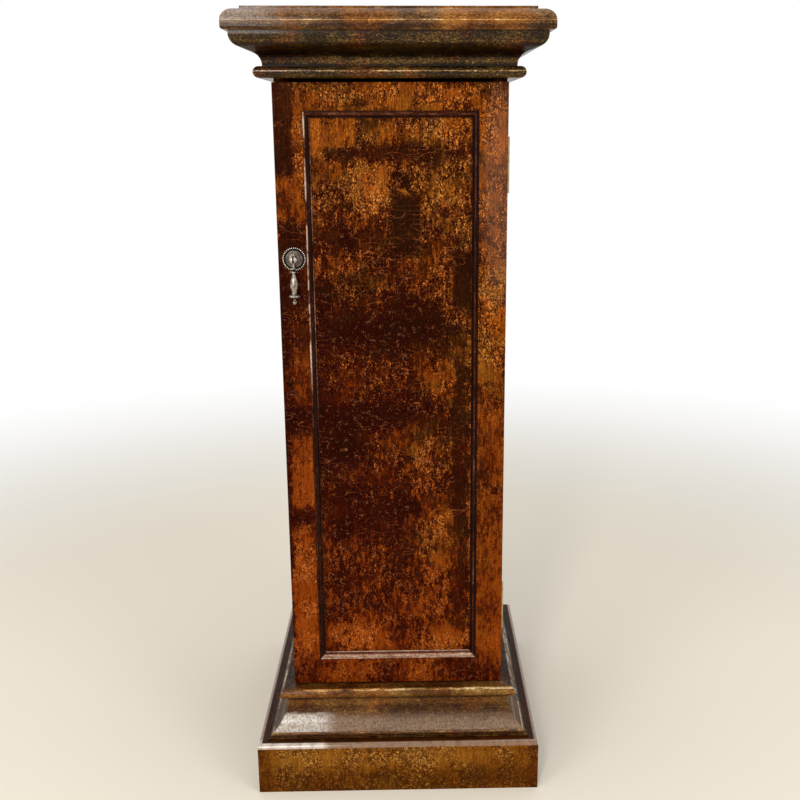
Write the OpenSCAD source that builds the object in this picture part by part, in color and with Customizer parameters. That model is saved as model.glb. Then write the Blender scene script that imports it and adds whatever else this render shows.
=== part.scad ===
// Bedside pot cupboard on a square pedestal plan: a tall box body with one framed and panelled door,
// between a moulded plinth and a moulded cornice that run round all four sides.
// Millimetres. The origin is on the floor under the middle of the cupboard, with the door towards -Y.

/* [Body] */
// Width of the body across the door
body_w = 272; // [240:1:320]
// Depth of the body, door included
body_d = 317; // [260:1:360]
// Height of the body between its floor and its top board
body_h = 767.5; // [700:0.5:840]
// Thickness of the side boards
side_t = 16; // [15:0.5:19]
// Thickness of the floor board and of the bead round it
floor_t = 14; // [12:0.5:18]
// Thickness of the top board and of the bead round it
top_t = 13; // [12:0.5:18]
// Thickness of the back panel
back_t = 6; // [4:0.5:9]
// Depth of the rebate in each side that the back panel lies in, from the inner face
back_rebate = 8; // [5:0.5:10]

/* [Plinth] */
// Height of the plinth boards
plinth_h = 69; // [55:1:85]
// How far the plinth stands out from the body
plinth_e = 46.5; // [42:0.5:60]
// Thickness of the plinth boards
plinth_t = 20; // [16:1:24]
// Radius of the plinth's top edge
plinth_r = 7; // [3:0.5:10]
// Side of the square glue blocks in the plinth's corners
block_side = 36; // [28:1:40]
// Gap under the glue blocks
block_lift = 4; // [2:0.5:8]

/* [Base moulding] */
// Height of the hollow moulding between plinth and floor board
base_h = 47.5; // [40:0.5:50]
// How far its thin foot stands out from the body
foot_e = 34.7; // [33:0.1:36.5]
// Height of the thin foot
foot_h = 2; // [1:0.5:3]
// Height of the upright step over the foot
step_h = 3; // [2:0.5:5]
// Radius of the hollow
cove_r = 44; // [43:0.5:50]
// How far the top of the hollow stands out from the body
cove_e = 9.4; // [6:0.2:11]
// Height of the upright band over the hollow
cove_band = 4.5; // [3:0.5:7]
// How far the floor board's bead stands out from the body
floor_bead_e = 17.9; // [15:0.1:22]

/* [Cornice] */
// How far the top board's bead stands out from the body
top_bead_e = 18.1; // [15:0.1:22]
// Height of the ogee moulding over that bead
ogee_h = 36.5; // [36:0.5:42]
// How far the ogee stands out at its foot
ogee_foot_e = 8.5; // [5:0.5:10]
// Height of the upright fillet at the ogee's foot
ogee_foot_h = 1; // [0.5:0.5:2]
// Radius of the ogee's lower hollow
hollow_r = 15.5; // [13:0.5:16]
// Radius of the ogee's upper round
round_r = 13; // [10:0.5:13.5]
// How far the ogee stands out at its top
ogee_e = 40.3; // [38:0.1:42]
// Height of the upright band over the round
ogee_band = 4; // [2:0.5:5]
// Thickness of the top slab
slab_t = 26; // [24:0.5:32]
// How far the slab stands out from the body
slab_e = 47.5; // [45:0.5:55]
// Radius of the slab's lower edge
slab_low_r = 3; // [1:0.5:5]
// Radius of the slab's upper edge
slab_top_r = 13.5; // [8:0.5:14]
// Height of the raised field on top of the slab
field_h = 3.5; // [2:0.5:5]
// Width of the ledge round that field
ledge_w = 5.5; // [2:0.5:8]

/* [Door] */
// Thickness of the door
door_t = 20; // [20:0.5:26]
// Gap under the door
door_gap = 1.5; // [1:0.1:3]
// Gap over the door
head_gap = 4; // [2:0.1:6]
// Width of the door's stiles
stile_w = 33.5; // [32:0.5:45]
// Width of the door's bottom rail
rail_low_w = 33.5; // [28:0.5:60]
// Width of the door's top rail
rail_top_w = 31.5; // [28:0.5:60]
// Thickness of the door's panel
panel_t = 6; // [5:0.5:6.5]
// Depth from the door's face to its panel
panel_sink = 8; // [7.5:0.1:8.5]
// Depth of the groove that holds the panel
groove_d = 8; // [6:0.5:9]
// Width of the moulding round the panel
mould_w = 7.9; // [7.4:0.1:8.6]
// Radius of the bead on that moulding
mould_bead_r = 1.2; // [1:0.1:1.4]
// Width of the fillet at the moulding's inner edge
mould_fillet_w = 0.9; // [0.6:0.1:1.2]

/* [Inside] */
// Thickness of the shelves
shelf_t = 15; // [12:0.5:18]
// Height of the lower shelf's underside over the floor board
shelf_low_rise = 244; // [180:1:280]
// Height of the upper shelf's underside over the floor board
shelf_high_rise = 499; // [450:1:560]
// How far the shelves lie behind the front edges of the sides
shelf_inset = 12; // [5:1:40]
// Radius of the shelf pins
shelf_pin_r = 2.5; // [2:0.1:3]
// Length of the shelf pins, half of it in the side
shelf_pin_l = 18; // [12:1:20]
// Distance of the shelf pins from the front and back ends of the shelf
shelf_pin_y = 45; // [30:1:80]

/* [Hinges] */
// Length of each hinge
hinge_l = 65; // [50:0.5:76]
// Number of knuckles on each hinge
knuckle_count = 4; // [3:1:6]
// Width of a leaf from the pin's axis
leaf_w = 14.8; // [13.5:0.1:15.8]
// Thickness of a leaf
leaf_t = 1.6; // [1.4:0.1:1.8]
// Radius of the knuckles
knuckle_r = 2.4; // [2.3:0.05:2.7]
// Radius of the hinge pin
hinge_pin_r = 1.2; // [1:0.05:1.3]
// How far the pin's axis lies outside the side of the body
hinge_out = 1.3; // [0.8:0.1:1.8]
// Height of the lower hinge's middle over the floor board
hinge_low_rise = 101; // [70:1:160]
// Distance of the upper hinge's middle under the top board
hinge_high_drop = 98; // [60:0.5:160]
// Distance between the screws of a leaf
hinge_screw_gap = 21; // [16:0.5:22]
// Radius of the wood screws' shank
screw_r = 1.1; // [0.9:0.1:1.3]
// Radius of the wood screws' head
screw_head_r = 2.3; // [2:0.1:2.4]
// Length of the wood screws
screw_l = 13; // [10:0.5:16]

/* [Catch] */
// Radius of the round magnet
magnet_r = 4.5; // [3:0.5:5.5]
// Length of the round magnet
magnet_l = 10; // [6:0.5:14]
// Radius of the steel strike disc
strike_r = 6; // [5:0.5:7]
// Thickness of the steel strike disc
strike_t = 1.5; // [1.4:0.1:2]
// Distance of the catch under the top board
catch_drop = 65; // [30:1:100]

/* [Pull] */
// Distance of the pull's backplate from the edge of the panel's opening
pull_gap = 0.6; // [0.3:0.1:3]
// Height of the pull's middle over the floor board
pull_rise = 562; // [400:0.5:600]
// Radius of the pull's backplate
plate_r = 14; // [13:0.1:15.5]
// Number of beads round the rim
bead_count = 36; // [30:1:42]
// Share of the rim that the beads fill
bead_share = 0.88; // [0.8:0.01:0.92]
// Radius of the domed middle of the backplate
dome_r = 9.2; // [8.5:0.1:9.8]
// Height of the dome over its own step
dome_h = 3.4; // [2.5:0.1:4]
// Radius of the split ball that carries the drop
ball_r = 4.8; // [4.6:0.1:5.5]
// Height of the drop's pivot over the door's face
pivot_out = 9.3; // [9:0.1:11]
// Radius of the pivot pin
pivot_r = 0.9; // [0.7:0.05:1]
// Thickness of the drop's tongue
tongue_t = 1.6; // [1.4:0.1:2.2]
// Radius of the pull's threaded shank
shank_r = 2; // [1.5:0.1:2.2]
// Length of the drop from its pivot to its tip
drop_l = 53.5; // [50:0.5:62]
// Largest radius of the pear
pear_r = 5; // [4.4:0.1:5.6]
// Largest radius of the petalled flange under the pear
flange_r = 6.5; // [6:0.1:7]
// Number of petals round the flange
petal_count = 8; // [6:1:12]
// Radius of the ball at the drop's tip
finial_r = 2.7; // [2.2:0.1:3]

/* [Hidden] */
$fn = 72;
over = 1;            // how far a cutting shape runs past what it cuts
seat_fit = 0.1;      // clearance of a fixed piece in its recess
run_fit = 0.05;      // radial clearance of a pin in its bore
shelf_fit = 0.5;     // gap at each end of a shelf
panel_play = 1;      // room for the door's panel to move in its grooves
frame_in = 20;       // how far the moulding frames reach in under the body
arris = 1.5;         // turn at each end of the ogee's straight stretch, in degrees

// Heights of the layers, from the floor up
base_z = plinth_h;
floor_z = base_z + base_h;
inside_z = floor_z + floor_t;
top_z = inside_z + body_h;
ogee_z = top_z + top_t;
slab_z = ogee_z + ogee_h;

// Hinge axis, and the gap that the folded leaves leave between the door and the sides
leaf_gap = 2 * (knuckle_r - leaf_t);
front_y = -body_d / 2;
door_back_y = front_y + door_t;
side_front_y = door_back_y + leaf_gap;
back_y = body_d / 2;
hinge_x = body_w / 2 + hinge_out;
hinge_y = door_back_y + leaf_gap / 2;
hinge_zs = [inside_z + hinge_low_rise, top_z - hinge_high_drop];
knuckle_h = hinge_l / knuckle_count;
knuckle_gap = 0.15;     // between one knuckle and the next
knuckle_clear = 0.4;    // room round the knuckles in the wood
hinge_cap_h = 0.5;      // height of the pin's peened ends
screw_x = body_w / 2 - side_t / 2;
head_h = 1.2;           // height of a wood screw's head
point_l = 3;            // length of its point
point_r = 0.3;
driver_slot = 0.5;      // width and depth of the slot in its head

// Inside of the body
inside_w = body_w - 2 * side_t;
side_d = back_y - side_front_y;
shelf_y0 = side_front_y + shelf_inset;
shelf_d = back_y - back_t - shelf_fit - shelf_y0;
shelf_zs = [inside_z + shelf_low_rise, inside_z + shelf_high_rise];
shelf_pin_ys = [shelf_y0 + shelf_pin_y, shelf_y0 + shelf_d - shelf_pin_y];

// Door
door_z = inside_z + door_gap;
door_h = body_h - door_gap - head_gap;
open_w = body_w - 2 * stile_w;
open_h = door_h - rail_low_w - rail_top_w;
open_z = door_z + rail_low_w;
groove_y = front_y + panel_sink;
tenon_l = groove_d - seat_fit;

// Catch
catch_x = -body_w / 2 + side_t / 2;
catch_z = top_z - catch_drop;
catch_air = 0.3;

// Pull, measured outward from the door's face
pull_x = -open_w / 2 - pull_gap - plate_r;
pull_z = inside_z + pull_rise;
plate_h = 0.8;
rim_bead_r = plate_r * bead_share * PI / (bead_count + bead_share * PI);
rim_w = 1.1;                        // the upright rim that joins the beads
rim_h = 1.5;
bead_lift = 0.15;                   // gap between the beads and the door
bead_h = rim_bead_r + bead_lift;    // height of the beads' middles
dome_step_h = 2.2;
dome_step_w = 0.7;
dome_ring_r = 0.45;                 // the turned ring on the dome
dome_ring_at = 0.8;                 // where that ring lies, as a share of the dome's radius
neck_r = 2.8;                       // the post between the door and the ball
slot_air = 0.3;                     // room on each side of the tongue
slot_w = tongue_t + 2 * slot_air;
eye_r = 2.3;                        // round end of the tongue, about the pivot
eye_air = 0.9;                      // room under the eye in its slot
pin_short = 0.3;                    // how far each end of the pivot pin lies inside the ball
nut_h = 3.2;
nut_r = 4;
washer_t = 0.8;
washer_r = 4.6;
nut_sink = 5;                       // depth of the counterbore in the back of the stile
nut_room_r = 5.4;
shank_past = 0.3;                   // how far the shank passes the nut
nut_out = -door_t + nut_sink - washer_t;

// Drop, measured down from its pivot
stem_r = 1.2;
knob_r = 3.9;
knob_h = 2.6;
knob_y = 10.4;                      // middle of the knob
leaf_y = 12.6;                      // where the leaves spring
leaf_r = 4.8;                       // how far they spread
leaf_fall = 2.6;                    // how far they hang
leaf_thick = 1;
leaf_notch = 2.4;                   // half the width of the notch between two leaves
pear_y = 15.4;                      // top of the pear
pear_full = 0.63;                   // where the pear is fullest, as a share of its own length
pear_top_r = 1.3;
pear_foot_r = 2.9;
collar_r = 4;                       // the ring under the pear
collar_h = 1.8;
flange_top_r = 3.2;
flange_h = 2.4;                     // from the collar to the flange's widest line
cup_h = 3.6;                        // from there down to the tip's neck
tip_r = 1.5;
tip_neck_h = 1;
petal_cut_r = 1.3;
petal_cut = 0.7;                    // how deep the gaps between petals are
finial_y = drop_l - finial_r;
flange_y = finial_y - finial_r - tip_neck_h - cup_h;
pear_end = flange_y - flange_h - collar_h;

// ---- Sections of the mouldings: x is outward from the body, y is up from the moulding's own foot ----

module plinth_section() {
    inner = plinth_e - plinth_t;
    translate([inner, 0]) square([plinth_t, plinth_h - plinth_r]);
    translate([inner, 0]) square([plinth_t - plinth_r, plinth_h]);
    translate([plinth_e - plinth_r, plinth_h - plinth_r]) circle(plinth_r);
}

// A hollow between a stepped foot and an upright band
module base_section() {
    centre = [cove_e + cove_r, base_h - cove_band];
    low = foot_h + step_h;
    low_e = centre.x - sqrt(cove_r * cove_r - (centre.y - low) * (centre.y - low));
    translate([-frame_in, 0]) square([frame_in + foot_e, foot_h]);
    difference() {
        translate([-frame_in, 0]) square([frame_in + low_e, base_h]);
        translate(centre) circle(cove_r);
        translate([cove_e, centre.y]) square([cove_r, cove_band + over]);
    }
}

// A half-round bead as high as the board it is fixed to
module bead_section(reach, height) {
    square([reach - height / 2, height]);
    translate([reach - height / 2, height / 2]) circle(height / 2);
}

// A hollow below and a round above, joined by a straight stretch with a faint arris at each end
module ogee_section() {
    low = [ogee_foot_e + hollow_r, ogee_foot_h];
    high = [ogee_e - round_r, ogee_h - ogee_band];
    slope = atan2(high.y - low.y, high.x - low.x) - asin((hollow_r + round_r) / norm(high - low));
    leave = slope + 90 - arris;
    meet = slope - 90 - arris;
    intersection() {
        translate([-frame_in, 0]) square([frame_in + ogee_e, ogee_h]);
        difference() {
            union() {
                polygon([
                    [-frame_in, 0], [ogee_foot_e, 0], [ogee_foot_e, ogee_foot_h],
                    low + hollow_r * [cos(leave), sin(leave)], high + round_r * [cos(meet), sin(meet)],
                    high, [ogee_e, high.y], [ogee_e, ogee_h], [-frame_in, ogee_h]
                ]);
                translate(high) circle(round_r);
            }
            translate(low) circle(hollow_r);
        }
    }
}

// Cross-section of the whole slab over a body of this width
module slab_section(width) {
    top = slab_t - field_h;
    round_e = slab_e - slab_top_r;
    field_w = width + 2 * (round_e - ledge_w);
    translate([-field_w / 2, 0]) square([field_w, slab_t]);
    translate([-width / 2 - round_e, 0]) square([width + 2 * round_e, top]);
    for (s = [-1, 1]) {
        intersection() {
            translate([s * (width / 2 + round_e), top - slab_top_r]) circle(slab_top_r);
            translate([-width / 2 - slab_e, slab_low_r]) square([width + 2 * slab_e, slab_t]);
        }
        translate([s * (width / 2 + slab_e - slab_low_r), slab_low_r]) circle(slab_low_r);
    }
    translate([-width / 2 - slab_e, slab_low_r]) square([width + 2 * slab_e, top - slab_top_r - slab_low_r]);
    translate([-width / 2 - slab_e + slab_low_r, 0])
        square([width + 2 * (slab_e - slab_low_r), top - slab_top_r]);
}

// Moulding round the panel: x runs in from the opening's edge, y out from the panel's face
module panel_mould_section() {
    quirk = 0.6;
    fillet_h = 1.3;
    bead_y = panel_sink - mould_bead_r + 0.4;
    ovolo_x = 2 * mould_bead_r + quirk;
    ovolo_r = mould_w - mould_fillet_w - ovolo_x;
    square([2 * mould_bead_r, bead_y]);
    translate([mould_bead_r, bead_y]) circle(mould_bead_r);
    square([ovolo_x, bead_y - mould_bead_r]);
    intersection() {
        translate([ovolo_x, panel_sink - 1 - ovolo_r]) circle(ovolo_r);
        translate([ovolo_x, 0]) square([ovolo_r, panel_sink]);
    }
    translate([ovolo_x - quirk / 2, 0]) square([quirk / 2, panel_sink - 1]);
    square([ovolo_x + ovolo_r, panel_sink - 1 - ovolo_r]);
    square([mould_w, fillet_h]);
}

// ---- Shapes that repeat ----

// One mitred length of a moulding round the body, with its section as the child.
// side counts 0 front, 1 right, 2 back, 3 left; inner and outer are how far the section reaches.
module mitred_length(side, z, height, inner, outer) {
    run = side % 2 == 0 ? body_w : body_d;
    away = side % 2 == 0 ? body_d / 2 : body_w / 2;
    low = inner + over;
    high = outer + over;
    translate([0, 0, z]) rotate([0, 0, 90 * side]) translate([0, -away, 0]) intersection() {
        rotate([90, 0, -90]) linear_extrude(run + 2 * high, center = true) children();
        translate([0, 0, -over]) linear_extrude(height + 2 * over) polygon([
            [-run / 2 - high, -high], [run / 2 + high, -high],
            [run / 2 - low, low], [-run / 2 + low, low]
        ]);
    }
}

// Carries a child drawn in the door's plane, x right, y up and z outward, to the door's face
module on_door(x, z) {
    translate([x, front_y, z]) rotate([90, 0, 0]) children();
}

// One mitred length of the moulding inside the door's opening: 0 bottom, 1 right, 2 top, 3 left
module panel_length(side) {
    run = side % 2 == 0 ? open_w : open_h;
    away = side % 2 == 0 ? open_h / 2 : open_w / 2;
    far = mould_w + over;
    on_door(0, open_z + open_h / 2) rotate([0, 0, 90 * side])
        translate([0, -away, -panel_sink]) intersection() {
            rotate([90, 0, 90]) linear_extrude(run + 2 * over, center = true) panel_mould_section();
            translate([0, 0, -over]) linear_extrude(panel_sink + 2 * over) polygon([
                [-run / 2 - over, -over], [run / 2 + over, -over],
                [run / 2 - far, far], [-run / 2 + far, far]
            ]);
        }
}

// A straight round bar between two heights on its own axis
module bar(r, from, to) {
    translate([0, 0, from]) cylinder(h = to - from, r = r);
}

// Countersunk wood screw: its head's face lies at z = 0 and its shank runs down
module wood_screw(length) {
    difference() {
        union() {
            translate([0, 0, -head_h]) cylinder(h = head_h, r1 = screw_r, r2 = screw_head_r);
            bar(screw_r, -length + point_l, -head_h);
            translate([0, 0, -length]) cylinder(h = point_l, r1 = point_r, r2 = screw_r);
        }
        translate([-screw_head_r, -driver_slot / 2, -driver_slot])
            cube([2 * screw_head_r, driver_slot, over]);
    }
}

// The hole that a wood screw fills, with a seat for its head
module screw_hole(length) {
    bar(screw_r + run_fit, -length - seat_fit, over);
    translate([0, 0, -head_h]) cylinder(h = head_h, r1 = screw_r + run_fit, r2 = screw_head_r + run_fit);
    bar(screw_head_r + run_fit, 0, over);
}

// Repeats a child at the three screws of a leaf
module at_screws(hinge_z) {
    for (i = [-1, 0, 1]) translate([screw_x, hinge_y, hinge_z + i * hinge_screw_gap]) children();
}

// ---- Hinges: each is two leaves that fold flat on each other, with their knuckles on one pin ----

// way is 1 for the leaf on the side board and -1 for the leaf on the door
module leaf_plate(way, low, high, reach) {
    near = hinge_y + way * leaf_gap / 2;
    far = near + way * leaf_t;
    translate([hinge_x - leaf_w, min(near, far), low]) cube([leaf_w - reach, leaf_t, high - low]);
}

module knuckle(low, high) {
    translate([hinge_x, hinge_y, 0]) bar(knuckle_r, low, high);
}

module hinge_bore(z) {
    translate([hinge_x, hinge_y, z])
        bar(hinge_pin_r + run_fit, -hinge_l / 2 - over, hinge_l / 2 + over);
}

module leaf_screw_holes(way, z) {
    at_screws(z) rotate([way * 90, 0, 0]) translate([0, 0, -leaf_gap / 2]) screw_hole(leaf_t + over);
}

// A leaf and its share of the knuckles, every other one from the lowest or the second up
module hinge_leaf(way, z) {
    foot = z - hinge_l / 2;
    color("goldenrod") difference() {
        union() {
            leaf_plate(way, foot, foot + hinge_l, knuckle_r + knuckle_clear);
            for (i = [way > 0 ? 0 : 1 : 2 : knuckle_count - 1]) {
                low = foot + i * knuckle_h + (i > 0 ? knuckle_gap / 2 : 0);
                high = foot + (i + 1) * knuckle_h - (i < knuckle_count - 1 ? knuckle_gap / 2 : 0);
                leaf_plate(way, low, high, 0);
                knuckle(low, high);
            }
        }
        hinge_bore(z);
        leaf_screw_holes(way, z);
    }
}

module hinge_pin(z) {
    color("goldenrod") translate([hinge_x, hinge_y, z]) {
        bar(hinge_pin_r, -hinge_l / 2, hinge_l / 2);
        for (s = [0, 1]) mirror([0, 0, s]) translate([0, 0, hinge_l / 2])
            cylinder(h = hinge_cap_h, r1 = knuckle_r - seat_fit, r2 = hinge_pin_r);
    }
}

// Recess for one leaf, its screws and the barrel, cut in the wood that carries it
module hinge_recess(way) {
    for (z = hinge_zs) {
        translate([hinge_x, hinge_y, z])
            bar(knuckle_r + knuckle_clear, -hinge_l / 2 - over, hinge_l / 2 + over);
        translate([
            hinge_x - leaf_w - seat_fit,
            way > 0 ? side_front_y - over : door_back_y - leaf_t,
            z - hinge_l / 2 - seat_fit
        ]) cube([leaf_w + seat_fit + over, leaf_t + over, hinge_l + 2 * seat_fit]);
        at_screws(z) rotate([way * 90, 0, 0]) translate([0, 0, -leaf_gap / 2])
            bar(screw_r + run_fit, -screw_l - seat_fit, over);
    }
}

module hinge_screws(way) {
    color("gold") for (z = hinge_zs)
        at_screws(z) rotate([way * 90, 0, 0]) translate([0, 0, -leaf_gap / 2]) wood_screw(screw_l);
}

// ---- Plinth and base ----

module plinth_board(side) {
    color("saddlebrown") mitred_length(side, 0, plinth_h, plinth_t - plinth_e, plinth_e) plinth_section();
}

module plinth_corner_blocks() {
    corner = [body_w / 2, body_d / 2] + [1, 1] * (plinth_e - plinth_t);
    color("burlywood") for (sx = [-1, 1], sy = [-1, 1]) {
        translate([sx * (corner.x - block_side / 2), sy * (corner.y - block_side / 2), block_lift])
            linear_extrude(plinth_h - block_lift) square(block_side, center = true);
    }
}

module base_moulding(side) {
    color("saddlebrown") mitred_length(side, base_z, base_h, frame_in, foot_e) base_section();
}

module base_bead(side) {
    color("saddlebrown") mitred_length(side, floor_z, floor_t, 0, floor_bead_e)
        bead_section(floor_bead_e, floor_t);
}

module floor_board() {
    color("sienna") translate([-body_w / 2, front_y, floor_z]) cube([body_w, body_d, floor_t]);
}

// ---- Body ----

// way is -1 for the left side board and 1 for the right one
module side_board(way) {
    outer = way * body_w / 2;
    inner = way * inside_w / 2;
    rebate = way * (inside_w / 2 + back_rebate);
    difference() {
        translate([min(outer, inner), side_front_y, inside_z]) cube([side_t, side_d, body_h]);
        translate([min(inner, rebate) - (way > 0 ? over : 0), back_y - back_t, inside_z - over])
            cube([back_rebate + over, back_t + over, body_h + 2 * over]);
        for (z = shelf_zs, y = shelf_pin_ys)
            translate([inner, y, z - shelf_pin_r]) rotate([0, way * 90, 0])
                bar(shelf_pin_r + run_fit, -over, shelf_pin_l / 2 + seat_fit);
        if (way > 0) hinge_recess(1);
        if (way < 0) catch_socket();
    }
}

module side_left() {
    color("sienna") side_board(-1);
}

module side_right() {
    color("sienna") side_board(1);
}

module back_panel() {
    w = inside_w + 2 * (back_rebate - seat_fit);
    color("sienna") translate([-w / 2, back_y - back_t, inside_z]) cube([w, back_t, body_h]);
}

module shelf(i) {
    w = inside_w - 2 * shelf_fit;
    color("burlywood") translate([-w / 2, shelf_y0, shelf_zs[i]]) cube([w, shelf_d, shelf_t]);
}

module shelf_pins() {
    color("goldenrod") for (z = shelf_zs, y = shelf_pin_ys, way = [-1, 1])
        translate([way * inside_w / 2, y, z - shelf_pin_r]) rotate([0, way * 90, 0])
            bar(shelf_pin_r, -shelf_pin_l / 2, shelf_pin_l / 2);
}

// ---- Cornice ----

module top_board() {
    color("sienna") translate([-body_w / 2, front_y, top_z]) cube([body_w, body_d, top_t]);
}

module cornice_bead(side) {
    color("saddlebrown") mitred_length(side, top_z, top_t, 0, top_bead_e) bead_section(top_bead_e, top_t);
}

module cornice_ogee(side) {
    color("saddlebrown") mitred_length(side, ogee_z, ogee_h, frame_in, ogee_e) ogee_section();
}

module top_slab() {
    color("saddlebrown") translate([0, 0, slab_z]) intersection() {
        rotate([90, 0, 0]) linear_extrude(body_d + 2 * (slab_e + over), center = true) slab_section(body_w);
        rotate([90, 0, 90]) linear_extrude(body_w + 2 * (slab_e + over), center = true) slab_section(body_d);
    }
}

// ---- Door ----

// way is -1 for the left stile and 1 for the right one
module door_stile(way) {
    outer = way * body_w / 2;
    inner = way * open_w / 2;
    groove_x = inner + way * groove_d;
    difference() {
        translate([min(outer, inner), front_y, door_z]) cube([stile_w, door_t, door_h]);
        translate([min(inner - way * over, groove_x), groove_y - seat_fit, door_z - over])
            cube([groove_d + over, panel_t + 2 * seat_fit, door_h + 2 * over]);
        if (way > 0) hinge_recess(-1);
        if (way < 0) pull_hole();
        if (way < 0) strike_seat();
    }
}

module door_stile_left() {
    color("chocolate") door_stile(-1);
}

module door_stile_right() {
    color("chocolate") door_stile(1);
}

// way is -1 for the bottom rail and 1 for the top one
module door_rail(way) {
    outer = way < 0 ? door_z : door_z + door_h;
    inner = way < 0 ? open_z : open_z + open_h;
    width = abs(outer - inner);
    groove_z = inner + way * groove_d;
    tenon_w = open_w + 2 * tenon_l;
    color("chocolate") difference() {
        union() {
            translate([-open_w / 2, front_y, min(outer, inner)]) cube([open_w, door_t, width]);
            translate([-tenon_w / 2, groove_y, min(outer, inner)]) cube([tenon_w, panel_t, width]);
        }
        translate([-tenon_w / 2 - over, groove_y - seat_fit, min(inner - way * over, groove_z)])
            cube([tenon_w + 2 * over, panel_t + 2 * seat_fit, groove_d + over]);
    }
}

module door_panel() {
    hold = groove_d - panel_play;
    w = open_w + 2 * hold;
    color("chocolate") translate([-w / 2, groove_y, open_z - hold]) cube([w, panel_t, open_h + 2 * hold]);
}

module panel_moulding(side) {
    color("saddlebrown") panel_length(side);
}

// ---- Catch ----

module catch_socket() {
    translate([catch_x, side_front_y, catch_z]) rotate([90, 0, 0])
        bar(magnet_r + run_fit, -magnet_l, over);
}

module catch_magnet() {
    color("silver") translate([catch_x, side_front_y, catch_z]) rotate([90, 0, 0])
        bar(magnet_r, -magnet_l, leaf_gap - catch_air);
}

module strike_seat() {
    translate([catch_x, door_back_y, catch_z]) rotate([-90, 0, 0]) {
        bar(strike_r + run_fit, -strike_t, over);
        bar(screw_r + run_fit, -screw_l - seat_fit, over);
    }
}

module catch_strike() {
    color("lightsteelblue") translate([catch_x, door_back_y, catch_z]) rotate([-90, 0, 0]) difference() {
        bar(strike_r, -strike_t, 0);
        screw_hole(strike_t + over);
    }
}

module strike_screw() {
    color("silver") translate([catch_x, door_back_y, catch_z]) rotate([-90, 0, 0]) wood_screw(screw_l);
}

// ---- Pull: a beaded and domed backplate, a split ball on a threaded post, and a pear drop on a pin ----

module pull_hole() {
    on_door(pull_x, pull_z) {
        bar(shank_r + 2 * seat_fit, -door_t - over, over);
        bar(nut_room_r, -door_t - over, -door_t + nut_sink);
    }
}

module pull_backplate() {
    sphere_r = (dome_r * dome_r + dome_h * dome_h) / (2 * dome_h);
    dome_y = dome_step_h + dome_h - sphere_r;
    ring_x = dome_r * dome_ring_at;
    bead_x = plate_r - rim_bead_r;
    color("rosybrown") on_door(pull_x, pull_z) {
        rotate_extrude() difference() {
            union() {
                square([bead_x, plate_h]);
                translate([bead_x - rim_w / 2, 0]) square([rim_w, rim_h]);
                square([dome_r + dome_step_w, dome_step_h]);
                intersection() {
                    translate([0, dome_y]) circle(sphere_r);
                    square([dome_r, dome_step_h + dome_h]);
                }
                translate([ring_x, dome_y + sqrt(sphere_r * sphere_r - ring_x * ring_x)]) circle(dome_ring_r);
            }
            translate([-sphere_r, -over]) square([sphere_r + neck_r + run_fit, 4 * sphere_r]);
            translate([0, pivot_out]) circle(ball_r + run_fit);
        }
        for (i = [0 : bead_count - 1]) rotate([0, 0, i * 360 / bead_count])
            translate([bead_x, 0, bead_h]) sphere(rim_bead_r, $fn = 24);
    }
}

module pull_post() {
    color("rosybrown") on_door(pull_x, pull_z) difference() {
        union() {
            translate([0, 0, pivot_out]) sphere(ball_r);
            bar(neck_r, 0, pivot_out);
            bar(shank_r, nut_out - nut_h - shank_past, over / 2);
        }
        translate([-slot_w / 2, -2 * ball_r, pivot_out - eye_r - eye_air])
            cube([slot_w, 4 * ball_r, 4 * ball_r]);
        translate([0, 0, pivot_out]) rotate([0, 90, 0]) bar(pivot_r + run_fit, -2 * ball_r, 2 * ball_r);
    }
}

module pull_washer() {
    color("silver") on_door(pull_x, pull_z) difference() {
        bar(washer_r, nut_out, nut_out + washer_t);
        bar(shank_r + seat_fit, nut_out - over, nut_out + washer_t + over);
    }
}

module pull_nut() {
    color("silver") on_door(pull_x, pull_z) difference() {
        translate([0, 0, nut_out - nut_h]) cylinder(h = nut_h, r = nut_r, $fn = 6);
        bar(shank_r + run_fit, nut_out - nut_h - over, nut_out + over);
    }
}

module pull_pivot_pin() {
    length = 2 * (ball_r - pin_short);
    color("dimgray") on_door(pull_x, pull_z) translate([0, 0, pivot_out]) rotate([0, 90, 0])
        bar(pivot_r, -length / 2, length / 2);
}

// Rises from 0 to 1 with a level start and end
function ease(t) = (1 - cos(180 * t)) / 2;

// Radius of the pear t of the way down it: it swells quickly, is full two thirds down and draws in again
function pear(t) = t < pear_full
    ? pear_top_r + (pear_r - pear_top_r) * sin(90 * t / pear_full)
    : pear_r + (pear_foot_r - pear_r) * ease((t - pear_full) / (1 - pear_full));

// Turned outline of the drop, from its stem down to its tip: [radius, distance under the pivot]
pear_steps = 20;
arc_steps = 6;
drop_outline = concat(
    [[0, knob_y - knob_h], [stem_r, knob_y - knob_h]],
    [for (i = [1 : 2 * arc_steps - 1]) let (a = i * 90 / arc_steps)
        [stem_r + (knob_r - stem_r) * sin(a), knob_y - knob_h / 2 * cos(a)]],
    [[stem_r, knob_y + knob_h / 2], [stem_r, leaf_y]],
    [for (i = [0 : pear_steps]) let (t = i / pear_steps)
        [pear(t), pear_y + t * (pear_end - pear_y)]],
    [for (i = [1 : 2 * arc_steps - 1]) let (a = i * 90 / arc_steps)
        [pear_foot_r + (collar_r - pear_foot_r) * sin(a), pear_end + collar_h * (1 - cos(a)) / 2]],
    [for (i = [0 : arc_steps]) let (a = i * 90 / arc_steps)
        [flange_top_r + (flange_r - flange_top_r) * sin(a), flange_y - flange_h * cos(a)]],
    [for (i = [1 : arc_steps]) let (t = i / arc_steps)
        [flange_r + (tip_r - flange_r) * ease(t), flange_y + cup_h * t]],
    [[tip_r, finial_y], [0, finial_y]]
);

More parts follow.
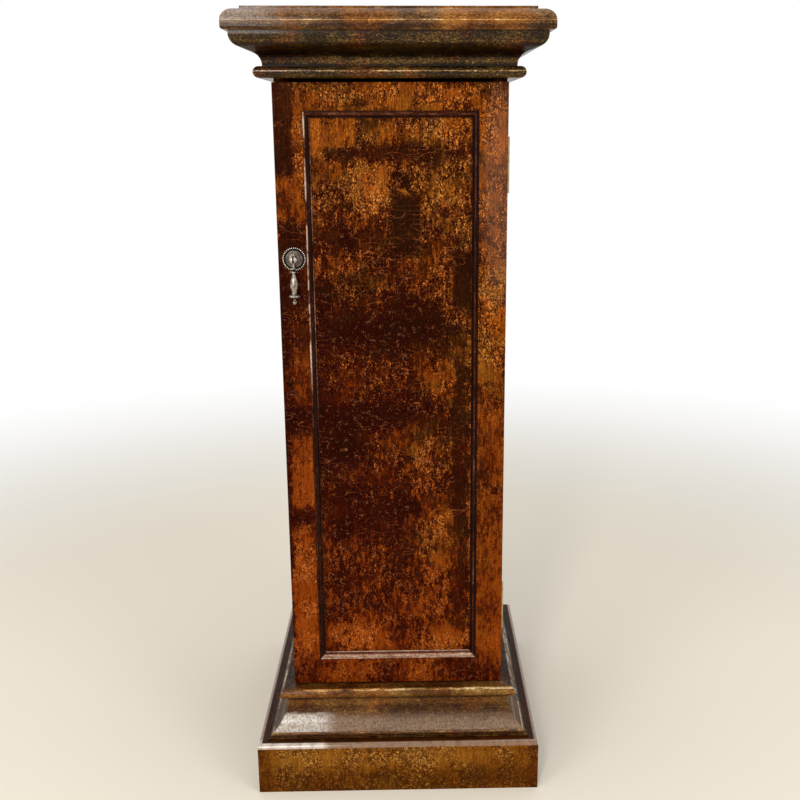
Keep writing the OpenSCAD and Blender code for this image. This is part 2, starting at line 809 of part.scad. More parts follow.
// Ring of pointed leaves that hang over the top of the pear
module leaf_collar() {
    difference() {
        rotate_extrude() polygon([
            [0, -leaf_y + leaf_thick], [stem_r + 0.3, -leaf_y + leaf_thick],
            [leaf_r, -leaf_y - leaf_fall + leaf_thick], [leaf_r, -leaf_y - leaf_fall],
            [pear_top_r, -leaf_y - leaf_thick], [0, -leaf_y - leaf_thick]
        ]);
        for (i = [0 : 3]) rotate([90, 0, 45 + 90 * i]) linear_extrude(2 * leaf_r) polygon([
            [0, -leaf_y - leaf_thick / 2], [-leaf_notch, -leaf_y - leaf_fall - leaf_thick],
            [leaf_notch, -leaf_y - leaf_fall - leaf_thick]
        ]);
    }
}

module pull_drop() {
    color("rosybrown") translate([pull_x, front_y - pivot_out, pull_z]) difference() {
        union() {
            rotate([0, 90, 0]) bar(eye_r, -tongue_t / 2, tongue_t / 2);
            translate([-tongue_t / 2, -stem_r, -knob_y]) cube([tongue_t, 2 * stem_r, knob_y]);
            rotate_extrude() polygon([for (p = drop_outline) [p.x, -p.y]]);
            leaf_collar();
            translate([0, 0, -finial_y]) sphere(finial_r);
        }
        rotate([0, 90, 0]) bar(pivot_r + run_fit, -tongue_t, tongue_t);
        for (i = [0 : petal_count - 1]) rotate([0, 0, (i + 0.5) * 360 / petal_count])
            translate([flange_r - petal_cut + petal_cut_r, 0, -flange_y])
                bar(petal_cut_r, -cup_h - over, flange_h);
    }
}

// ---- Nodes ----

plinth_board(0);  // plinth_front
plinth_board(1);  // plinth_right
plinth_board(2);  // plinth_back
plinth_board(3);  // plinth_left
plinth_corner_blocks();
base_moulding(0);  // base_moulding_front
base_moulding(1);  // base_moulding_right
base_moulding(2);  // base_moulding_back
base_moulding(3);  // base_moulding_left
base_bead(0);  // base_bead_front
base_bead(1);  // base_bead_right
base_bead(2);  // base_bead_back
base_bead(3);  // base_bead_left
floor_board();
side_left();
side_right();
back_panel();
shelf(0);  // shelf_lower
shelf(1);  // shelf_upper
shelf_pins();
top_board();
cornice_bead(0);  // cornice_bead_front
cornice_bead(1);  // cornice_bead_right
cornice_bead(2);  // cornice_bead_back
cornice_bead(3);  // cornice_bead_left
cornice_ogee(0);  // cornice_ogee_front
cornice_ogee(1);  // cornice_ogee_right
cornice_ogee(2);  // cornice_ogee_back
cornice_ogee(3);  // cornice_ogee_left
top_slab();
door_stile_left();
door_stile_right();
door_rail(-1);  // door_rail_bottom
door_rail(1);  // door_rail_top
door_panel();
panel_moulding(0);  // panel_moulding_bottom
panel_moulding(1);  // panel_moulding_right
panel_moulding(2);  // panel_moulding_top
panel_moulding(3);  // panel_moulding_left
hinge_leaf(1, hinge_zs[0]);  // hinge_leaf_fixed_lower
hinge_leaf(1, hinge_zs[1]);  // hinge_leaf_fixed_upper
hinge_leaf(-1, hinge_zs[0]);  // hinge_leaf_door_lower
hinge_leaf(-1, hinge_zs[1]);  // hinge_leaf_door_upper
hinge_pin(hinge_zs[0]);  // hinge_pin_lower
hinge_pin(hinge_zs[1]);  // hinge_pin_upper
hinge_screws(1);  // carcass_hinge_screws
hinge_screws(-1);  // door_hinge_screws
catch_magnet();
catch_strike();
strike_screw();
pull_backplate();
pull_post();
pull_washer();
pull_nut();
pull_pivot_pin();
pull_drop();
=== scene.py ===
import math

import bpy
from mathutils import Matrix, Vector


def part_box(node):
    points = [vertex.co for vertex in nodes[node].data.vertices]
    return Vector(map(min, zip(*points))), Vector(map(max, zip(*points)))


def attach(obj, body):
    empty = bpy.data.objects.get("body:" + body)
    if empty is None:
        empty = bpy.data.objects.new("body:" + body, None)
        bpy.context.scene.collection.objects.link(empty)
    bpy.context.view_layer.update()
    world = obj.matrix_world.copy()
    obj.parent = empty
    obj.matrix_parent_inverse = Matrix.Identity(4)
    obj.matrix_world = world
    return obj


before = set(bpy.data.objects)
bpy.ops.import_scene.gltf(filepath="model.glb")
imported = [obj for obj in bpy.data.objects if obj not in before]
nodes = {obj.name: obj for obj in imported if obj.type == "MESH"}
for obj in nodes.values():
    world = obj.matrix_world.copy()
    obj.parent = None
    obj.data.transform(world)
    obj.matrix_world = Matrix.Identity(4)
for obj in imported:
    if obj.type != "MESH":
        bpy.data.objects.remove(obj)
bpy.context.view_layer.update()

print("frame loaded:", len(nodes), "nodes")


# Shader sums are written as Python expressions on these wires
class Wire:
    def __init__(self, paint, socket):
        self.paint = paint
        self.socket = socket

    def output(self, key):
        return Wire(self.paint, self.socket.node.outputs[key])

    def calc(self, operation, *others):
        sockets = dict(enumerate([self, *others]))
        return self.paint.node("ShaderNodeMath", {"operation": operation}, sockets)

    def __add__(self, other):
        return self.calc("ADD", other)

    def __radd__(self, other):
        return self.calc("ADD", other)

    def __sub__(self, other):
        return self.calc("SUBTRACT", other)

    def __rsub__(self, other):
        return self.calc("MULTIPLY_ADD", -1.0, other)

    def __mul__(self, other):
        return self.calc("MULTIPLY", other)

    def __rmul__(self, other):
        return self.calc("MULTIPLY", other)


# The nodes of a material or the world: node() adds any node, the rest are shorthands for the ones used most
class Paint:
    def __init__(self, owner):
        owner.use_nodes = True
        self.owner = owner
        self.tree = owner.node_tree
        self.tree.nodes.clear()

    def node(self, kind, settings=None, sockets=None, output=0):
        made = self.tree.nodes.new(kind)
        for key, value in (settings or {}).items():
            if key == "stops":
                ramp = made.color_ramp
                while len(ramp.elements) < len(value):
                    ramp.elements.new(0.5)
                for element, (place, colour) in zip(ramp.elements, value):
                    element.position = place
                    element.color = (*colour, 1.0)
            else:
                setattr(made, key, value)
        for key, value in (sockets or {}).items():
            if isinstance(value, Wire):
                self.tree.links.new(value.socket, made.inputs[key])
            else:
                made.inputs[key].default_value = value
        return Wire(self, made.outputs[output]) if len(made.outputs) else None

    def inMillimetres(self):
        place = self.node("ShaderNodeTexCoord", output=3)
        return self.vector("SCALE", place, scale=1000.0)

    def vector(self, operation, first, second=None, scale=None):
        sockets = {0: first}
        if second is not None:
            sockets[1] = second
        if scale is not None:
            sockets["Scale"] = scale
        output = 1 if operation in ("LENGTH", "DOT_PRODUCT") else 0
        return self.node("ShaderNodeVectorMath", {"operation": operation}, sockets, output)

    def axis(self, place, number):
        return self.node("ShaderNodeSeparateXYZ", None, {0: place}, number)

    # Size in mm, one for all axes or one for each. A shift moves it, so that two noises don't fall together
    def noise(self, place, size, detail=2.0, rough=0.5, shift=0.0, colour=False):
        grain = tuple(1.0 / s for s in size) if isinstance(size, tuple) else (1.0 / size,) * 3
        spot = self.vector("MULTIPLY", place, grain)
        if shift:
            spot = self.vector("ADD", spot, (shift, shift * 0.7, shift * 1.3))
        sockets = {"Vector": spot, "Scale": 1.0, "Detail": detail, "Roughness": rough}
        return self.node("ShaderNodeTexNoise", None, sockets, 1 if colour else 0)

    def fade(self, value, low, high, least=0.0, most=1.0):
        sockets = {0: value, 1: low, 2: high, 3: least, 4: most}
        return self.node("ShaderNodeMapRange", {"interpolation_type": "SMOOTHSTEP"}, sockets)

    # Full up to the inner distance from the middle, and nothing beyond the outer one
    def band(self, value, middle, inner, outer, most=1.0):
        return self.fade((value - middle).calc("ABSOLUTE"), outer, inner, 0.0, most)

    def mix(self, factor, first, second):
        settings = {"data_type": "RGBA", "blend_type": "MIX", "clamp_factor": True}
        sockets = {0: factor}
        for key, value in ((6, first), (7, second)):
            sockets[key] = value if isinstance(value, Wire) else (*value, 1.0)
        return self.node("ShaderNodeMix", settings, sockets, 2)

    def ramp(self, value, stops):
        return self.node("ShaderNodeValToRGB", {"stops": stops}, {0: value})

    def bump(self, height, distance, normal=None):
        sockets = {"Height": height, "Distance": distance}
        if normal:
            sockets["Normal"] = normal
        return self.node("ShaderNodeBump", None, sockets)

    # The normal rounded over at the arrises, and how near an arris each point lies
    def arris(self, radius):
        rounded = self.node("ShaderNodeBevel", {"samples": 4}, {"Radius": radius})
        plain = self.node("ShaderNodeNewGeometry", output="Normal")
        return rounded, self.fade(self.vector("DOT_PRODUCT", rounded, plain), 0.995, 0.86)

    # 1 where the camera, gloss or glass sees it, 0 where it only gives light
    def seen(self):
        ray = self.node("ShaderNodeLightPath", output="Is Camera Ray")
        ray = ray.calc("MAXIMUM", ray.output("Is Glossy Ray"))
        glass = self.node("ShaderNodeLightPath", output="Is Transmission Ray")
        return ray.calc("MAXIMUM", glass)

    def finish(self, sockets):
        shader = self.node("ShaderNodeBsdfPrincipled", None, sockets)
        self.node("ShaderNodeOutputMaterial", None, {0: shader})
        return self.owner


def newPaint(name):
    return Paint(bpy.data.materials.new(name))


def srgb(*channels):
    return tuple(((v / 255 + 0.055) / 1.055) ** 2.4 if v > 10 else v / 255 / 12.92 for v in channels)


# Stops of a ramp: the place of each, and its red, green and blue
def shades(*stops):
    return [(place, srgb(*channels)) for place, *channels in stops]


def dress(material, *names):
    for name in names:
        for slot in nodes[name].material_slots:
            slot.material = material


# Where a piece begins (end 0) or ends (end 1) on an axis, in mm
def edgeOf(name, end, axis):
    return 1000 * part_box(name)[end][axis]


# Lacquer over copper leaf: a tone from 0, thick dark lacquer, to 1, leaf rubbed nearly bare
lacquerLook = {
    "tone": 0.47,
    "cloud": 55.0,                         # size of the large clouds, and how deep they are
    "cloudDepth": 0.45,
    "clouds": [],                          # placed clouds: x, z, half width, half height, how much brighter,
                                           # and for smooth ones how soft the edge is
    "drift": 22.0,                         # size of the unevenness that tears edges
    "torn": 36.0,                          # how far it tears those of clouds, and of flakes and cracks
    "nudge": 7.0,
    "rasp": 26.0,                          # size of the places that are torn rough, between smooth ones
    "flake": (4.6, 4.6, 11.5),             # ragged flakes, which spread where the tone is high
    "flakeDepth": 0.4,
    "flakeSpread": 0.5,
    "grain": (1.6, 1.6, 2.4),              # the finest mottle
    "grainDepth": 1.3,
    "chip": (2.3, 2.3, 3.4),               # sharp chips where it is rough
    "chipDepth": 0.42,
    "fibre": (1.8, 1.8, 26.0),             # faint upright streaks where it is smooth
    "fibreDepth": 0.5,
    "livelyFrom": 150.0,                   # heights between which cracks and mottle grow stronger
    "livelyTo": 650.0,
    "redShades": shades((0.0, 16, 0, 0), (0.25, 46, 5, 0), (0.5, 88, 29, 2),
                        (0.7, 127, 53, 6), (0.85, 156, 74, 14), (1.0, 194, 108, 46)),
    "tanShades": shades((0.0, 14, 1, 0), (0.25, 40, 12, 0), (0.5, 86, 37, 4),
                        (0.7, 134, 66, 10), (0.85, 171, 88, 20), (1.0, 209, 126, 54)),
    "oliveShades": shades((0.0, 12, 6, 0), (0.25, 36, 23, 3), (0.5, 82, 50, 11),
                          (0.7, 126, 80, 20), (0.85, 158, 108, 38), (1.0, 196, 150, 80)),
    "paleFrom": 250.0,                     # heights between which the finish turns from red to tan
    "paleTo": 880.0,
    "wander": 700.0,                       # how far that wanders in large places and in small ones
    "flutter": 900.0,
    "lean": 1.4,                           # how far it comes lower toward the right
    "olive": 0.42,                         # how much of the tan turns olive
    "crackle": ((3.6, 3.6, 5.0), 0.075),   # fine curled cracks: size, and width as a share of it
    "tear": ((8.0, 8.0, 11.0), 0.055),     # larger torn cracks
    "run": ((3.2, 3.2, 24.0), 0.07),       # long cracks that run down the door
    "crackleDepth": 0.85,
    "crackleShade": srgb(36, 0, 0),
    "scratch": ((34.0, 34.0, 11.0), 0.008),    # long ragged scratches, mostly level
    "scratchDepth": 0.6,
    "scratchShade": srgb(172, 92, 42),
    "speck": ((3.0, 3.0, 3.6), 0.05),      # short pale curls where the lacquer lifts
    "speckDepth": 0.32,
    "speckShade": srgb(196, 120, 74),
    "sheenHaze": [],                            # places greyed by a painted sheen, a painted reflection: x, z, half width, half height and depth
    "sheenHazeShade": srgb(146, 122, 106),
    "smear": (9.0, 9.0, 30.0),             # patches of duller gloss
    "swell": 14.0,                         # size of the gloss's slow waves
    "relief": 0.0006,                      # height of all the relief, in m
    "rough": 0.36,
    "specular": 0.04,
    "sheenTint": (1.0, 0.5, 0.2, 1.0),
    "coat": 0.03,
    "coatRough": 0.14,
}
firmEdge = 0.3    # a cloud whose edge is harder than this is a square of laid leaf


# One laid leaf or one cloud: a square with a firm edge, or a soft oval
def cloudPatch(paint, torn, near, x, z, halfWidth, halfHeight, edge=0.5):
    firm = edge < firmEdge
    scale = (1.0 / halfWidth, 0.0, 1.0 / halfHeight)
    offset = (-x / halfWidth, 0.0, -z / halfHeight)
    gap = paint.vector("ADD", paint.vector("MULTIPLY", near if firm else torn, scale), offset)
    if firm:
        axes = paint.axis(paint.vector("ABSOLUTE", gap), 0)
        gap = axes.calc("MAXIMUM", axes.output(2))
    else:
        gap = paint.vector("LENGTH", gap)
    return paint.fade(gap, 1 + edge, 1 - edge)


# Thin lines where a noise passes its middle value
def curls(paint, place, line, shift):
    size, width = line
    gap = (paint.noise(place, size, 1.0, 0.5, shift=shift) - 0.5).calc("ABSOLUTE")
    return paint.fade(gap, width, width * 0.3)


# The tone of the clouds, and masks of the smooth places and of the bright leaves among them
def laidTone(paint, look, torn, near):
    tone = (paint.noise(torn, look["cloud"], 3.0, 0.55, shift=3.1) - 0.5) * look["cloudDepth"] + look["tone"]
    smooth = 0.0
    leaf = 0.0
    for x, z, halfWidth, halfHeight, amount, *edge in look["clouds"]:
        mask = cloudPatch(paint, torn, near, x, z, halfWidth, halfHeight, *edge)
        tone = tone + mask * amount
        if edge:
            smooth = mask.calc("MAXIMUM", smooth)
        if edge and amount > 0:
            leaf = mask.calc("MAXIMUM", leaf)
    return tone, smooth, leaf


# Flakes and grain all over, chips where it is rough and fibres where it is smooth
def mottledTone(paint, look, place, near, tone, rasp, lively):
    flake = paint.noise(near, look["flake"], 7.0, 0.78, shift=4.3) + (tone - 0.5) * look["flakeSpread"]
    flake = paint.fade(flake, 0.44, 0.56, -0.5, 0.5) * (rasp * 0.45 + 0.6)
    grain = (paint.noise(place, look["grain"], 2.0, 0.6, shift=1.7) - 0.5) * look["grainDepth"]
    chip = paint.fade(paint.noise(place, look["chip"], 3.0, 0.7, shift=16.4), 0.42, 0.58, -0.5, 0.5) * rasp
    fibre = (paint.noise(place, look["fibre"], 2.0, 0.5, shift=17.8) - 0.5) * (1 - rasp)
    detail = grain * (rasp * 0.8 + 0.4) + chip * look["chipDepth"] + fibre * look["fibreDepth"]
    return tone * 0.5 + 0.24 + flake * look["flakeDepth"] + detail * lively


# Red below and tan above, with olive clouds in the tan except on the bright leaves
def leafColour(paint, look, place, torn, near, tone, leaf):
    wander = (paint.noise(place, 90.0, 2.0, 0.5, shift=9.0) - 0.5) * look["wander"]
    flutter = (paint.noise(near, 16.0, 2.0, 0.6, shift=2.2) - 0.5) * look["flutter"]
    turn = paint.axis(place, 2) + (wander + flutter) + paint.axis(place, 0) * look["lean"]
    pale = paint.fade(turn, look["paleFrom"], look["paleTo"])
    colour = paint.mix(pale, paint.ramp(tone, look["redShades"]), paint.ramp(tone, look["tanShades"]))
    green = paint.fade(paint.noise(torn, 46.0, 2.0, 0.5, shift=12.6), 0.46, 0.58, 0.0, look["olive"])
    green = green * pale * (1 - leaf * 0.8)
    return paint.mix(green, colour, paint.ramp(tone, look["oliveShades"]))


# Crimson cracks, scratches and lifted curls, fewer where it is smooth. Gives the colour and their relief
def crazedColour(paint, look, place, near, colour, rasp, lively):
    crazed = (rasp * 0.75 + 0.25) * lively
    running = paint.fade(paint.noise(place, 60.0, 1.0, 0.5, shift=6.1), 0.48, 0.56)
    crack = curls(paint, near, look["crackle"], 8.1)
    crack = crack.calc("MAXIMUM", curls(paint, near, look["run"], 9.4) * running)
    crack = crack.calc("MAXIMUM", curls(paint, near, look["tear"], 13.7)) * crazed
    colour = paint.mix(crack * look["crackleDepth"], colour, look["crackleShade"])
    scratched = paint.fade(paint.noise(place, 48.0, 1.0, 0.5, shift=25.5), 0.5, 0.56)
    scratch = curls(paint, near, look["scratch"], 24.2) * scratched * crazed
    colour = paint.mix(scratch * look["scratchDepth"], colour, look["scratchShade"])
    short = paint.fade(paint.noise(place, 7.0, 3.0, 0.6, shift=7.7), 0.54, 0.6)
    speck = curls(paint, near, look["speck"], 11.3) * short * rasp
    colour = paint.mix(speck * look["speckDepth"], colour, look["speckShade"])
    return colour, speck * 0.15 - crack * 0.1


# The plinth's top edge, smooth and glossy: a painted highlight along it, with a painted grey reflection at
# its left end. Gives the colour and the gloss
def paintedHighlightEdge(paint, edge, place, near, smear, colour):
    height = paint.axis(place, 2)
    mask = paint.band(height, edge["middle"], edge["half"] * 0.7, edge["half"] * 1.2)
    mask = mask * paint.fade(height, edge["top"] - 0.05, edge["top"] - 0.5)
    sheen = paint.fade(paint.axis(near, 0), *edge["sheenAlong"])
    sheen = sheen * paint.fade(paint.axis(near, 1), *edge["sheenBack"])
    shade = paint.mix(sheen, edge["shade"], edge["sheenShade"])
    depth = mask * paint.fade(smear, 0.3, 0.6, 0.5, 1.0) * edge["depth"]
    return paint.mix(depth, colour, shade), mask * edge["coat"]


def leafLacquer(name, look):
    look = {**lacquerLook, **look}
    paint = newPaint(name)
    place = paint.inMillimetres()
    drift = paint.noise(place, look["drift"], 6.0, 0.75, colour=True)
    drift = paint.vector("SUBTRACT", drift, (0.5, 0.5, 0.5))
    torn = paint.vector("ADD", place, paint.vector("SCALE", drift, scale=look["torn"]))
    near = paint.vector("ADD", place, paint.vector("SCALE", drift, scale=look["nudge"]))
    tone, smooth, leaf = laidTone(paint, look, torn, near)
    lively = paint.fade(paint.axis(place, 2), look["livelyFrom"], look["livelyTo"], 0.55, 1.0)
    rasp = paint.fade(paint.noise(torn, look["rasp"], 3.0, 0.6, shift=15.2), 0.38, 0.54) * (1 - smooth * 0.7)
    tone = mottledTone(paint, look, place, near, tone, rasp, lively)
    colour = leafColour(paint, look, place, torn, near, tone, leaf)
    colour, relief = crazedColour(paint, look, place, near, colour, rasp, lively)
    # Painted sheen: places greyed as a painted reflection
    for x, z, halfWidth, halfHeight, depth in look["sheenHaze"]:
        mask = cloudPatch(paint, place, place, x, z, halfWidth, halfHeight)
        colour = paint.mix(mask * depth, colour, look["sheenHazeShade"])
    smear = paint.noise(place, look["smear"], 3.0, 0.6, shift=5.0)
    coat = look["coat"]
    # A painted highlight along the top edge, where the look has one
    if "edge" in look:
        colour, gloss = paintedHighlightEdge(paint, look["edge"], place, near, smear, colour)
        coat = gloss + coat
    swell = paint.noise(place, look["swell"], 3.0, 0.5, shift=2.0)
    return paint.finish({
        "Base Color": colour,
        "Roughness": paint.fade(smear, 0.3, 0.7, look["rough"] - 0.06, look["rough"] + 0.08),
        "Normal": paint.bump(swell * 0.25 + relief, look["relief"]),
        "Specular IOR Level": look["specular"], "Specular Tint": look["sheenTint"],
        "Coat Weight": coat, "Coat Roughness": look["coatRough"],
    })


panelLook = {
    "tone": 0.443,
    "chipDepth": 0.46,
    "flakeDepth": 0.48,
    "clouds": [
        (-67, 838, 25, 16, 0.14, 0.15), (-60, 811, 18, 9, -0.15), (-10, 837, 16, 10, 0.15),
        (39, 838, 23, 12, 0.15), (26, 814, 69, 10, -0.13), (-24, 770, 24, 34, 0.2), (-20, 761, 7, 16, 0.25),
        (16, 732, 16, 34, -0.3, 0.28), (9, 785, 8, 13, -0.28), (5, 795, 11, 3, 0.25), (15, 770, 9, 3, 0.3),
        (65, 750, 30, 52, 0.06), (65, 756, 21, 21, 0.12), (63, 747, 10, 5, -0.28), (-62, 716, 19, 17, -0.12),
        (-53, 713, 10, 7, -0.25), (-83, 642, 9, 30, -0.28), (84, 662, 11, 34, -0.26, 0.25),
        (-46, 662, 45, 38, 0.1), (20, 629, 36, 18, -0.15), (-11, 600, 79, 16, -0.18),
        (-40, 544, 36, 39, 0.12), (51, 555, 21, 40, 0.12), (-44, 494, 62, 12, -0.22),
        (12, 439, 55, 46, 0.18), (-71, 457, 26, 24, -0.18),
        (-61, 420, 11, 11, 0.12), (82, 470, 11, 120, -0.12, 0.4), (80, 300, 12, 110, -0.08, 0.4),
        (-69, 390, 13, 12, -0.14), (24, 375, 8, 7, -0.2, 0.25), (54, 329, 28, 45, 0.15),
        (-44, 308, 35, 26, 0.1), (-68, 351, 11, 18, -0.14), (-54, 195, 40, 19, 0.16),
        (12, 201, 26, 26, -0.08),
        (67, 191, 28, 17, 0.14), (96, 420, 1.2, 230, 0.3), (-28, 480, 78, 215, -0.14),
        (-20, 640, 60, 60, -0.04), (76, 846, 24, 22, 0.12), (0, 205, 110, 60, 0.09), (54, 600, 22, 30, -0.14),
        (66, 450, 20, 50, -0.1), (-90, 835, 7, 24, 0.2, 0.2), (92, 800, 6, 22, 0.2), (-90, 285, 7, 50, 0.1),
    ],
}
frameLook = {
    "tone": 0.5,
    "chipDepth": 0.34,
    "speckDepth": 0.22,
    # A painted reflection greys the upper right stile
    "sheenHaze": [(126, 770, 18, 110, 0.12)],
    "clouds": [
        (-126, 844, 11, 50, -0.3, 0.25), (-109, 830, 7, 36, 0.2), (-119, 764, 15, 27, 0.12, 0.2),
        (-122, 717, 16, 17, -0.2), (-130, 650, 8, 50, -0.15), (-111, 547, 11, 39, 0.18, 0.2),
        (-120, 493, 18, 18, -0.2), (-115, 427, 14, 49, 0.22, 0.2), (-118, 367, 19, 11, -0.18),
        (-138, 352, 5, 230, -0.2), (-118, 275, 16, 80, 0.2), (-117, 153, 16, 20, -0.14),
        (118, 847, 16, 45, 0.17), (119, 774, 16, 28, 0.14), (120, 725, 16, 16, 0.02),
        (121, 671, 16, 36, 0.12),
        (108, 654, 5, 11, 0.2), (120, 518, 17, 20, -0.08), (120, 452, 16, 45, 0.05, 0.2),
        (111, 425, 9, 17, -0.14), (120, 274, 17, 130, 0.12, 0.15), (124, 395, 3, 3, -0.5),
        (-5, 879, 107, 15, 0.08), (-36, 871, 7, 8, -0.15), (111, 879, 9, 6, -0.18),
        (-122, 600, 30, 190, -0.18), (120, 570, 18, 75, 0.14), (120, 300, 20, 85, -0.1),
        (0, 160, 150, 50, 0.02), (-117, 175, 17, 30, 0.14), (70, 880, 34, 10, 0.1),
        (90, 155, 50, 20, -0.14), (-67, 148, 33, 16, 0.08), (-9, 147, 25, 16, -0.1), (46, 146, 30, 16, 0.05),
    ],
}
bodyLook = {"tone": 0.46, "cloudDepth": 0.8}
dress(leafLacquer("panelLacquer", panelLook), "door_panel")
dress(leafLacquer("frameLacquer", frameLook),
      "door_stile_left", "door_stile_right", "door_rail_bottom", "door_rail_top")
dress(leafLacquer("bodyLacquer", bodyLook), "side_left", "side_right", "back_panel")
print("door and body lacquered")

# Plinth: gold under olive, with a pale glossy top edge, pale as a painted highlight, and its flat top
# darkened by painted shade
plinthTop = edgeOf("plinth_front", 1, 2)
plinthBack = edgeOf("plinth_front", 1, 1)
plinthShades = shades((0.0, 50, 18, 0), (0.25, 76, 34, 0), (0.5, 104, 56, 4),
                      (0.7, 126, 74, 13), (0.85, 150, 94, 28), (1.0, 194, 140, 70))
plinthLook = {
    "tone": 0.62,
    "flake": (4.0, 4.0, 7.0),
    "flakeDepth": 0.3,
    "grainDepth": 1.2,
    "chip": (4.6, 4.6, 1.7),
    "chipDepth": 0.2,
    "scratchDepth": 0.0,
    "speckDepth": 0.3,
    "redShades": plinthShades,
    "tanShades": plinthShades,
    "crackleShade": srgb(60, 26, 0),
    "olive": 0.5,
    "livelyFrom": -200.0,                  # below the floor, so lively and tan all over
    "livelyTo": 0.0,
    "paleFrom": -400.0,
    "paleTo": -200.0,
    "coat": 0.06,
    # The first cloud darkens the flat top beneath the base moulding as painted shade
    "clouds": [
        (0, plinthTop + 2, 400, 3.0, -0.75, 0.2), (0, 6, 400, 22, -0.14), (-75, 48, 90, 13, 0.2),
        (45, 48, 60, 16, 0.18), (120, 25, 60, 16, -0.1), (135, 52, 14, 8, 0.15),
        (-178, 34, 9, 60, -0.18), (178, 34, 8, 60, -0.18),
    ],
    "edge": {
        "top": plinthTop,
        "middle": plinthTop - 3.0,
        "half": 3.2,                       # half its height
        # its shade is a painted highlight, and sheenShade a painted reflection at the left end
        "shade": srgb(138, 108, 84),
        "depth": 0.85,
        "coat": 0.8,
        "sheenAlong": (-88.0, -100.0),     # x between which the painted reflection comes in, and y that keep it in front
        "sheenBack": (plinthBack - 1.0, plinthBack - 11.0),
        "sheenShade": srgb(214, 200, 186),
    },
}
dress(leafLacquer("plinthLacquer", plinthLook), "plinth_front", "plinth_right", "plinth_back", "plinth_left")
print("plinth lacquered")

# Mouldings: smoother, darker and more olive, finely speckled and rubbed to gold at the arrises, with painted
# highlight and painted shade in bands and lines across the profile
mouldingLook = {
    "tone": 0.35,
    "streak": (60.0, 4.0),         # length and width of the streaks
    "streakDepth": 0.3,
    "cloud": 36.0,
    "cloudDepth": 0.7,
    "grain": (2.6, 1.4),           # length and width of the fine speckle
    "grainDepth": 0.9,
    "fleck": (7.0, 2.4),           # length and width of the gold flecks
    "fleckDepth": 0.2,
    "rub": 0.3,                    # how much brighter the arrises are
    "arris": 0.001,                # how far the arrises are rounded, in m
    "shades": shades((0.0, 8, 3, 0), (0.3, 32, 20, 4), (0.5, 68, 47, 15),
                     (0.7, 112, 82, 32), (0.85, 150, 114, 62), (1.0, 206, 178, 130)),
    "warmShades": shades((0.0, 12, 2, 0), (0.3, 48, 18, 4), (0.5, 88, 44, 12),
                         (0.7, 134, 78, 24), (0.85, 166, 106, 42), (1.0, 214, 168, 104)),
    "warm": 0.7,                   # how far the finish turns red-brown in places
    "warmPlaces": [],              # more such places: place along the length, half width, how much brighter
    "across": 2,                   # the axis across the moulding, and where it begins there
    "foot": 0.0,
    "ragged": 6.0,                 # how far bands and the painted sheen wander across
    "bands": [],                   # soft bands of painted highlight and painted shade: place above the foot, half width, how much brighter
    "lines": [],                   # sharp painted highlight lines, the same, broken here and there
    "lineLeast": 0.25,             # what is left of a line where it is broken
    "lineFade": None,              # heights between which the painted highlight lines come in
    "sheenVeil": None,                  # painted sheen, a pale layer standing in for a reflection on the lower part, with nothing of it below its end
    "sheen": None,                 # painted grey reflection at the left end, the same
    "rough": 0.32,
    "specular": 0.06,
    "coat": 0.2,
    "coatRough": 0.12,
    "ripple": 0.35,                # waviness of the gloss
    "crease": 0.12,                # share of fine creases in it
    "relief": 0.001,               # height of both, in m
}


def along(size, axis):
    return tuple(size[0] if i == axis else size[1] for i in range(3))


# Streaks, clouds, speckle and flecks that follow the length
def speckledTone(paint, look, place, axis):
    streak = (paint.noise(place, along(look["streak"], axis), 3.0, 0.6) - 0.5) * look["streakDepth"]
    cloud = (paint.noise(place, look["cloud"], 3.0, 0.6, shift=3.1) - 0.5) * look["cloudDepth"]
    grain = (paint.noise(place, along(look["grain"], axis), 2.0, 0.6, shift=1.7) - 0.5) * look["grainDepth"]
    fleck = paint.noise(place, along(look["fleck"], axis), 4.0, 0.75, shift=8.8)
    return streak + look["tone"] + cloud + grain + paint.fade(fleck, 0.52, 0.64, 0.0, look["fleckDepth"])


# Bands and lines across the profile: painted highlight and painted shade
def bandedTone(paint, look, place, axis, tone, across, ragged):
    for spot, half, amount in look["bands"]:
        tone = tone + paint.band(ragged, spot, half * 0.4, half * 1.2, amount)
    broken = paint.noise(place, along((30.0, 8.0), axis), 3.0, 0.6, shift=4.6)
    broken = paint.fade(broken, 0.38, 0.56, look["lineLeast"], 1.0)
    if look["lineFade"]:
        broken = broken * paint.fade(paint.axis(place, 2), *look["lineFade"], 0.2, 1.0)
    for spot, half, amount in look["lines"]:
        tone = tone + paint.band(across, spot, half * 0.6, half * 1.3, amount) * broken
    return tone


# Colour of the tone, redder and browner in places
def warmedColour(paint, look, place, length, tone):
    warm = paint.fade(paint.noise(place, 42.0, 3.0, 0.65, shift=18.3), 0.47, 0.6)
    for spot, half, amount in look["warmPlaces"]:
        mask = paint.band(length, spot, half * 0.85, half * 1.15)
        warm = warm.calc("MAXIMUM", mask)
        tone = tone + mask * amount
    olive = paint.ramp(tone, look["shades"])
    return paint.mix(warm * look["warm"], olive, paint.ramp(tone, look["warmShades"]))


